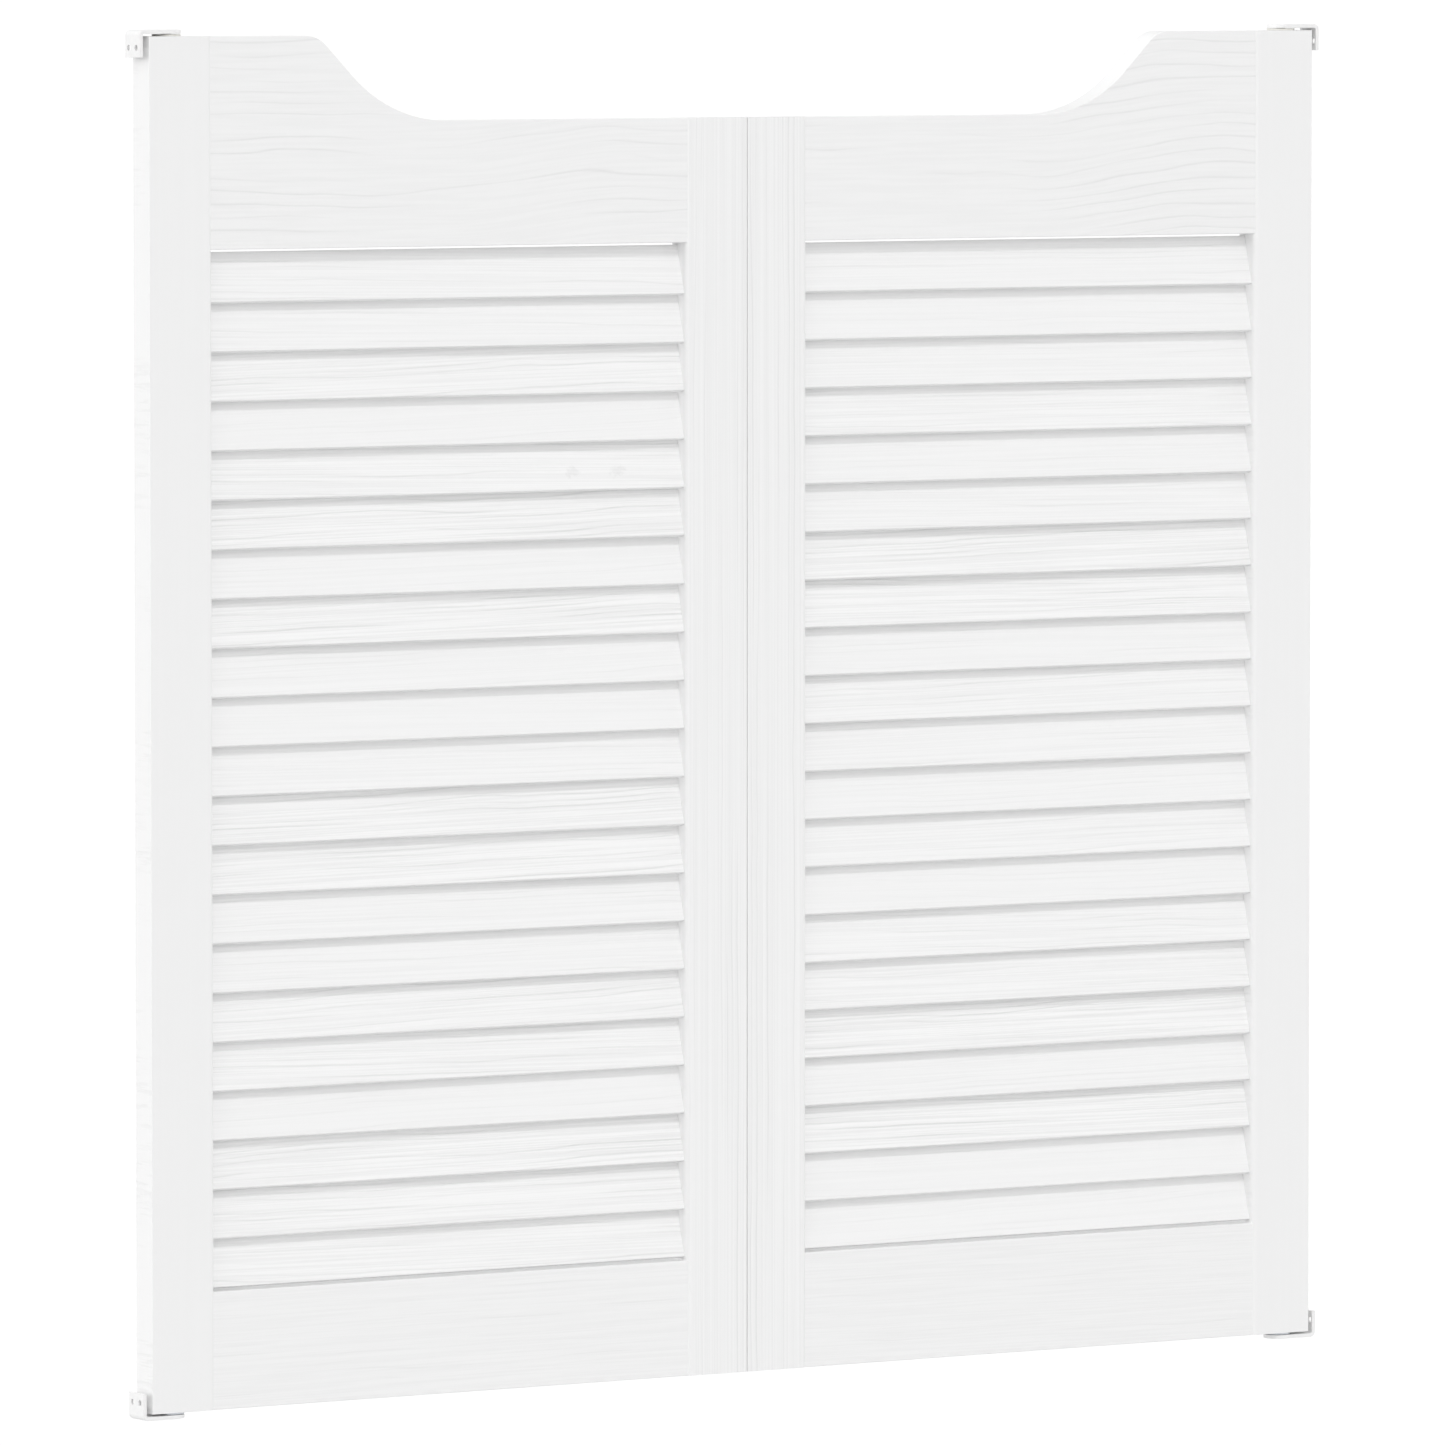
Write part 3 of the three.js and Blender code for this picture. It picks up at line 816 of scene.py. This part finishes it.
def jamb_bracket(node, up, spindle):
    """A right-hand bracket. Heights count from the outer face of its arm, up or down."""
    low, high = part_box(node)
    foot = low.z if up > 0 else high.z
    jamb_x = high.x
    leaf_x = jamb_x - BRACKET_THICKNESS
    outer_bend = BEND_RADIUS + BRACKET_THICKNESS
    bend_z = foot + up * outer_bend
    quarter = up * math.pi / 2
    piece = start_outline(node + "_steel", (low.x, low.y, foot))
    line_to(piece, jamb_x - outer_bend, foot)
    arc(piece, jamb_x - outer_bend, bend_z, quarter, BEND_STEPS)
    line_to(piece, jamb_x, foot + up * BRACKET_LEG)
    line_to(piece, leaf_x, foot + up * BRACKET_LEG)
    line_to(piece, leaf_x, bend_z)
    arc(piece, leaf_x - BEND_RADIUS, bend_z, -quarter, BEND_STEPS)
    line_to(piece, low.x, foot + up * BRACKET_THICKNESS)
    line_to(piece, low.x, foot)
    fill_outline(piece, high.y - low.y)
    half_width = (high.y - low.y) / 2
    round_over(piece, half_width - NEAR, ROUND_END_STEPS,
               lambda e: runs_along(e, 2) and near(middle(e).x, low.x))
    bpy.ops.object.mode_set(mode="OBJECT")
    hole_z = foot + up * (BRACKET_LEG - SCREW_EDGE)
    holes = [countersink(leaf_x, y, hole_z) for y in (-SCREW_SPACING / 2, SCREW_SPACING / 2)]
    cut(piece, holes)
    cut(piece, [turned("spindle", low.x + half_width, foot, up, spindle)], "UNION")
    return ease_edges(piece, BRACKET_ROUND)


leaf_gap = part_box("right_outer_stile")[0].z
collar_top = leaf_gap + COLLAR_HEIGHT
collar = SLEEVE_RADIUS["spring_barrel"] - BARREL_WALL - RUN_GAP
spindle_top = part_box("right_bottom_bracket")[1].z
bush_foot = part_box("right_top_bush")[0].z
pin_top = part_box("right_top_bracket")[1].z - bush_foot - END_WALL - RUN_GAP
SPINDLES = {
    "bottom_bracket": [(0, 0), (collar, 0), (collar, collar_top), (PIN_RADIUS, collar_top),
                       (PIN_RADIUS, spindle_top), (0, spindle_top)],
    "top_bracket": [(0, 0), (PIN_RADIUS, 0), (PIN_RADIUS, pin_top), (0, pin_top)],
}
for kind, spindle in SPINDLES.items():
    up = 1 if kind == "bottom_bracket" else -1
    made["right_" + kind] = jamb_bracket("right_" + kind, up, spindle)
    alone(made["right_" + kind])
    bpy.ops.object.duplicate(linked=False)
    mirrored = bpy.context.object
    mirrored.name = f"left_{kind}_steel"
    bpy.ops.transform.rotate(value=math.pi, orient_axis="Z", center_override=(0, 0, 0))
    bpy.ops.object.transform_apply(location=True, rotation=True, scale=True)
    made["left_" + kind] = mirrored
    print(kind, "faces:", len(mirrored.data.polygons))

# %% [markdown]
# ## White paint over pine
# The doors are painted softwood. The paint is an even white, but the grain still shows in it:
# thin wavy lines on the top rails, long stripes on the meeting stiles, close lines on the slats
# and faint broken ones on the bottom rails. An image texture would repeat and wouldn't suit every
# board, so the grain is worked out from the place on the board, in millimetres. Noise that is
# stretched along the board bends the growth lines, a sine draws them, and each line gets a
# strength of its own that comes and goes. A second, finer noise makes the lighter and darker
# streaks between them. Both darken the paint a little, partly as the grain's own tone and partly
# as painted shade in the grooves, and go into a Bump node as shallow grooves.

# %% Noise and lines
PAINT = (0.93, 0.93, 0.93, 1)
# Grey that the grain mixes in: the grain's own tone and painted shade in its grooves.
GROOVE_TONE_AND_SHADE = (0.53, 0.53, 0.53, 1)
MEAN_SHARE = 0.085
KNOT_LENGTH, KNOT_WIDTH = 6.0, 3.6
MILLIMETRES = 1000
BOARD_STEP = 700
DRIFT_LENGTH, DRIFT_WIDTH = 150, 45
LINE_STEP = 0.73
FULL_STRENGTH = 0.2
STROKE_WIDTH, STROKE_LENGTH = 2.6, 25
PATCH_LENGTH, PATCH_WIDTH = 40, 60
EDGE_FROM, EDGE_TO = 0.7, 0.95
TAU = 2 * math.pi


def new_finish(name):
    material = bpy.data.materials.new(name)
    material.use_nodes = True
    return material, Bench(material.node_tree)


def millimetres(bench):
    """The place on the piece, as three wires in millimetres."""
    place = bench.node("ShaderNodeTexCoord", output="Object")
    scaled = bench.node("ShaderNodeVectorMath", {"operation": "SCALE"},
                        {0: place, "Scale": MILLIMETRES})
    x = bench.node("ShaderNodeSeparateXYZ", {}, {0: scaled}, "X")
    return x, x.twin("Y"), x.twin("Z")


def noise(bench, x, y, z, detail=2):
    """A cloud of values round 0, with one swell per unit of x, y and z."""
    place = bench.node("ShaderNodeCombineXYZ", {}, {0: x, 1: y, 2: z})
    cloud = bench.node("ShaderNodeTexNoise", {}, {"Vector": place, "Scale": 1.0, "Detail": detail})
    return cloud - 0.5


def fade(bench, value, low, high):
    """0 below low, 1 above high and a smooth step between."""
    return bench.node("ShaderNodeMapRange", {"interpolation_type": "SMOOTHSTEP"},
                      {"Value": value, "From Min": low, "From Max": high})


def blend(bench, share, first, second):
    return bench.node("ShaderNodeMix", {"data_type": "RGBA"}, {0: share, 6: first, 7: second}, 2)


def growth_lines(bench, along, across, own, lines, cover):
    """Thin wandering lines at even gaps. cover says how many of them show."""
    drift = noise(bench, along / DRIFT_LENGTH, across / DRIFT_WIDTH, own) * (2 * lines["wave"])
    rings = (across + drift + own) / lines["gap"]
    crest = bench.math("SINE", rings * TAU) * 0.5 + 0.5
    which = bench.math("FLOOR", rings + 0.25)
    strength = noise(bench, along / lines["length"], which * LINE_STEP, own + 50) + cover
    return crest ** lines["thin"] * fade(bench, strength, 0, FULL_STRENGTH)


def facing(bench, axis):
    """How far the surface faces along an axis, from -1 to 1."""
    normal = bench.node("ShaderNodeTexCoord", output="Normal")
    return bench.node("ShaderNodeSeparateXYZ", {}, {0: normal}, axis)


def cross_strokes(bench, along, y, own):
    """Strokes across the edge of a board, in patches, where it faces sideways."""
    on_edge = fade(bench, bench.math("ABSOLUTE", facing(bench, "X")), EDGE_FROM, EDGE_TO)
    ripple = noise(bench, along / STROKE_WIDTH, y / STROKE_LENGTH, own, 3)
    patch = noise(bench, along / PATCH_LENGTH, y / PATCH_WIDTH, own + 9)
    return fade(bench, ripple, 0, 0.16) * fade(bench, patch, -0.10, 0.12) * on_edge


def knots(bench, x, z, places):
    """Soft blots with ragged edges, about 1 in the middle of each place and 0 away from them."""
    warp = noise(bench, x / 4, z / 3, 0, 3) * 3
    spots = 0
    for knot_x, knot_z in places:
        off_x = (x - knot_x) / KNOT_LENGTH + warp
        off_z = (z - knot_z) / KNOT_WIDTH + warp
        spots = spots + (1 - fade(bench, off_x * off_x + off_z * off_z, 0, 1.2))
    return spots


print("paint", PAINT[0], "in a groove", GROOVE_TONE_AND_SHADE[0])

# %% [markdown]
# The same recipe serves every kind of board with other sizes. A number that each board carries
# moves its grain, tilts it a little and, on the slats, sets how strongly it shows, so that some
# come out plain and others lively. On the top rails the lines swing upwards towards the right, as
# if both were sawn from one plank. They are quiet in the middle of the left rail and on the near
# side of the right one. Their upward-facing edges get a painted highlight: the paint is lighter
# there, with no grain and none of the usual darkening. Two small knots show on one slat of the left
# leaf.

# %% Painted wood
RAIL_MIDDLE = 218
RISE_END = 130
QUIET_OUT, QUIET_LEFT = 174, 44
QUIET_FROM, QUIET_TO = 20, 140
LIVELY = 1.3
TILT_MIX, LIVELY_MIX = 13.7, 29.3
FIBRE_DEPTH = 4
PAINT_ROUGHNESS = 0.46
# The slats' share is the paint's mean tone plus a little painted shade, against the extra light
# their upturned faces get.
SLAT_TONE_AND_SHADE = 0.10
KNOTS = ((-126.6, 579.3), (-93.2, 579.0))
KNOT_TONE, KNOT_DEPTH = 0.15, 0.05
PEEL_SIZE, PEEL_DEPTH = 1.6, 0.006
GROOVE_DEPTH = 0.3
HIGHLIGHT_FROM, HIGHLIGHT_TO = 0.15, 0.45


def painted_wood(name, upright, lines, streaks, tilt=0, rise=0, quiet=0, strokes=0, lively=0,
                 mean=MEAN_SHARE, knot_places=(), painted_top_highlight=False):
    """White paint over growth lines and streaks, along the height of a board or its length."""
    material, bench = new_finish(name)
    x, y, z = millimetres(bench)
    along, across = (z, x) if upright else (x, z)
    board = bench.node("ShaderNodeAttribute", {"attribute_name": "board"}, output="Fac")
    own = board * BOARD_STEP
    across = across + along * ((bench.math("FRACT", board * TILT_MIX) - 0.5) * tilt)

    cover = lines["cover"]
    if quiet:
        side = bench.math("SIGN", x)
        across = across - fade(bench, x - side * RAIL_MIDDLE, 0, RISE_END) * rise
        off_quiet = bench.math("ABSOLUTE", x - side * QUIET_OUT + QUIET_LEFT)
        cover = cover + (fade(bench, off_quiet, QUIET_FROM, QUIET_TO) - 0.5) * quiet
    line = growth_lines(bench, along, across, own, lines, cover)

    fibre = noise(bench, along / streaks["length"], across / streaks["gap"],
                  y / FIBRE_DEPTH + own, 3)
    streak = fade(bench, fibre, -streaks["soft"], streaks["soft"]) - 0.5
    peel = noise(bench, x / PEEL_SIZE, y / PEEL_SIZE, z / PEEL_SIZE + own)
    # The grain darkens the colour: partly its own tone, partly painted shade in the grooves.
    groove = line * lines["tone"] + streak * streaks["tone"]
    if lively:
        groove = groove * (1 + (bench.math("FRACT", board * LIVELY_MIX) - 0.5) * lively)
    share = mean + groove
    # Painted highlight: on faces that turn upwards the grain and the mean darkening fade out, so
    # the paint is lighter there.
    if painted_top_highlight:
        below_top_highlight = 1 - fade(bench, facing(bench, "Z"), HIGHLIGHT_FROM, HIGHLIGHT_TO)
        share, groove = share * below_top_highlight, groove * below_top_highlight
    height = peel * PEEL_DEPTH - groove * GROOVE_DEPTH
    if strokes:
        stroke = cross_strokes(bench, along, y, own) * strokes
        share = share + stroke
        height = height - stroke
    if knot_places:
        knot = knots(bench, x, z, knot_places)
        share = share + knot * KNOT_TONE
        height = height - knot * KNOT_DEPTH

    bump = bench.node("ShaderNodeBump", {}, {"Strength": 1.0, "Distance": 1 / MILLIMETRES,
                                             "Height": height})
    skin = bench.node("ShaderNodeBsdfPrincipled", {}, {
        "Base Color": blend(bench, share, PAINT, GROOVE_TONE_AND_SHADE),
        "Roughness": PAINT_ROUGHNESS + peel * 0.2 + line * 0.1,
        "Normal": bump,
    })
    bench.node("ShaderNodeOutputMaterial", {}, {"Surface": skin})
    print(name, "nodes:", len(bench.tree.nodes))
    return material


FINISHES = {
    "outer_stile": painted_wood(
        "outer_stile_paint", True,
        {"gap": 7, "wave": 3, "thin": 4, "length": 200, "cover": -0.05, "tone": 0.01},
        {"length": 300, "gap": 2.5, "soft": 0.17, "tone": 0.01}, strokes=0.10),
    "meeting_stile": painted_wood(
        "meeting_stile_paint", True,
        {"gap": 4.0, "wave": 3, "thin": 9, "length": 500, "cover": 0.02, "tone": 0.23},
        {"length": 450, "gap": 1.4, "soft": 0.2, "tone": 0.13}),
    "top_rail": painted_wood(
        "top_rail_paint", False,
        {"gap": 8, "wave": 10, "thin": 20, "length": 220, "cover": 0.03, "tone": 0.18},
        {"length": 70, "gap": 2.0, "soft": 0.12, "tone": 0.05}, rise=11, quiet=0.2,
        painted_top_highlight=True),
    "bottom_rail": painted_wood(
        "bottom_rail_paint", False,
        {"gap": 5, "wave": 6, "thin": 12, "length": 110, "cover": -0.02, "tone": 0.10},
        {"length": 80, "gap": 1.1, "soft": 0.18, "tone": 0.08}, tilt=0.04),
    "slat": painted_wood(
        "slat_paint", False,
        {"gap": 3.6, "wave": 6, "thin": 7, "length": 200, "cover": 0.05, "tone": 0.21},
        {"length": 170, "gap": 1.1, "soft": 0.14, "tone": 0.13}, tilt=0.04, lively=LIVELY,
        mean=SLAT_TONE_AND_SHADE, knot_places=KNOTS),
}

# %% [markdown]
# ## Finishes of the fittings
# The brackets are powder coated: an even white with the fine pebbled skin of melted powder. The
# bush is natural nylon, milky and a little uneven. The barrel is zinc plated, with the rings that
# turning leaves round its axis, and the spring is drawn wire. Each is built from noise on its own
# scale, so the close-up look isn't a flat colour.

# %% Metal and plastic
CLOUD_SIZE = 6
RING_RISE = 0.6


def coated(name, colour, second, roughness, metallic, grain, depth, pivot_rings=0):
    """A plain finish whose colour, gloss and relief vary on a scale of grain millimetres."""
    material, bench = new_finish(name)
    x, y, z = millimetres(bench)
    broad = CLOUD_SIZE * grain
    cloud = noise(bench, x / broad, y / broad, z / broad, 3)
    skin = noise(bench, x / grain, y / grain, z / grain)
    height = skin * depth
    if pivot_rings:
        off_axis = bench.math("ABSOLUTE", x) - PIVOT_X * MILLIMETRES
        radius = (off_axis ** 2 + y ** 2) ** 0.5
        height = height + bench.math("SINE", (radius + z * RING_RISE) * (TAU / pivot_rings)) * depth
    bump = bench.node("ShaderNodeBump", {}, {"Strength": 1.0, "Distance": 1 / MILLIMETRES,
                                             "Height": height})
    surface = bench.node("ShaderNodeBsdfPrincipled", {}, {
        "Base Color": blend(bench, fade(bench, cloud, -0.2, 0.2), colour, second),
        "Roughness": roughness + cloud * 0.2 + skin * 0.1,
        "Metallic": metallic,
        "Normal": bump,
    })
    bench.node("ShaderNodeOutputMaterial", {}, {"Surface": surface})
    print(name, "nodes:", len(bench.tree.nodes))
    return material


PIVOT_X = box_middle("right_top_bush").x
FINISHES["bracket"] = coated("white_powder_coat", (0.90, 0.90, 0.895, 1), (0.87, 0.87, 0.87, 1),
                             0.38, 0.0, 0.5, 0.02)
FINISHES["top_bush"] = coated("natural_nylon", (0.76, 0.75, 0.71, 1), (0.70, 0.69, 0.64, 1),
                              0.42, 0.0, 0.4, 0.004, 0.35)
FINISHES["spring_barrel"] = coated("zinc_plate", (0.55, 0.57, 0.59, 1), (0.47, 0.49, 0.52, 1),
                                   0.34, 1.0, 0.25, 0.004, 0.3)
FINISHES["return_spring"] = coated("spring_wire", (0.30, 0.31, 0.33, 1), (0.22, 0.23, 0.25, 1),
                                   0.30, 1.0, 0.15, 0.003)

# %% [markdown]
# ## Dressing the frame
# Every piece now gets its finish, rides on the body of the CAD node that it stands for, and hides
# that node. Each board also gets a number of its own as an attribute on its points, drawn with a
# fixed seed, so that no two boards show the same stretch of grain. The return springs sit inside
# their barrels and are kept as they came from CAD, with a new finish.

# %% Finish and body of each piece
SLOTS = {"stile": "painted_frame", "rail": "painted_frame", "slat": "painted_slat",
         "bracket": "white_steel", "top_bush": "nylon", "spring_barrel": "zinc_steel"}
draw = random.Random(21)


def matching(table, node):
    """The entry of the table whose name is part of the node's name."""
    return next(value for name, value in table.items() if name in node)


for node in sorted(made):
    piece = made[node]
    piece.data.materials.clear()
    piece.data.materials.append(matching(FINISHES, node))
    board = piece.data.attributes.new("board", "FLOAT", "POINT")
    board.data.foreach_set("value", [draw.random()] * len(piece.data.vertices))
    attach(piece, frame["nodes"][node]["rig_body"])
    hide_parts(node)
    matching(SLOTS, node)

for side in SIDES:
    spring = frame["nodes"][f"{side}_return_spring"]
    spring.data.materials.clear()
    spring.data.materials.append(FINISHES["return_spring"])
print("pieces dressed:", len(made))

# %% [markdown]
# ## Size
# The box of the CAD model and the box of the dressed model are set side by side, and the largest
# difference between them is printed.

# %% Size and finish
new_low, new_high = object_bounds()
sizes = {"cad": [list(cad_low), list(cad_high)], "visual": [list(new_low), list(new_high)]}
print("largest change of size:", max(
    abs(a - b) for old, new in zip(*sizes.values()) for a, b in zip(old, new)
), "m")
